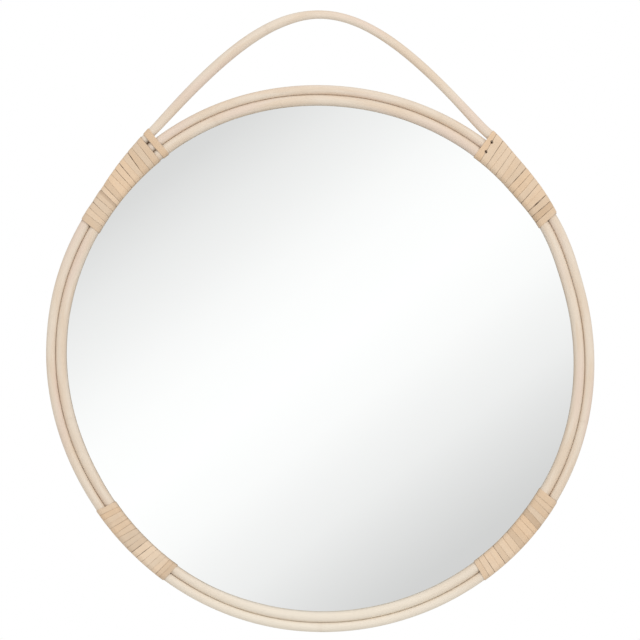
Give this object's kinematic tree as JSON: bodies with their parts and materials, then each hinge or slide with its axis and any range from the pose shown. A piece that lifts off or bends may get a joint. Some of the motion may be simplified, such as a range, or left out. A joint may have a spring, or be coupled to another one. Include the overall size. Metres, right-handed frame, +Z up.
{
  "type": "rattan wall mirror",
  "caption": "Round wall mirror in a frame of two bent rattan hoops bound together with flat cane, with a bent rattan arch above to hang it by.",
  "frame": {"origin": "middle of the backing board's back face, on the wall and on the axis of the round frame", "axes": "+Z up as the mirror hangs, +Y into the wall, so the glass faces -Y, and +X to the right as seen from the front"},
  "size_m": [0.5004, 0.0181, 0.5673],
  "materials": {
    "rattan_pole": "peeled rattan, bare and smooth",
    "rattan_strip": "flat rattan strip, warmer than the poles",
    "mirror_glass": "silvered float glass",
    "hardboard": "plain brown hardboard"
  },
  "bodies": {
    "root": {"outer_hoop": "rattan_pole", "inner_hoop": "rattan_pole", "hanging_arch": "rattan_pole", "binding_upper_left": "rattan_strip", "binding_upper_right": "rattan_strip", "binding_lower_left": "rattan_strip", "binding_lower_right": "rattan_strip", "mirror_glass": "mirror_glass", "backing_board": "hardboard"}
  },
  "joints": []
}
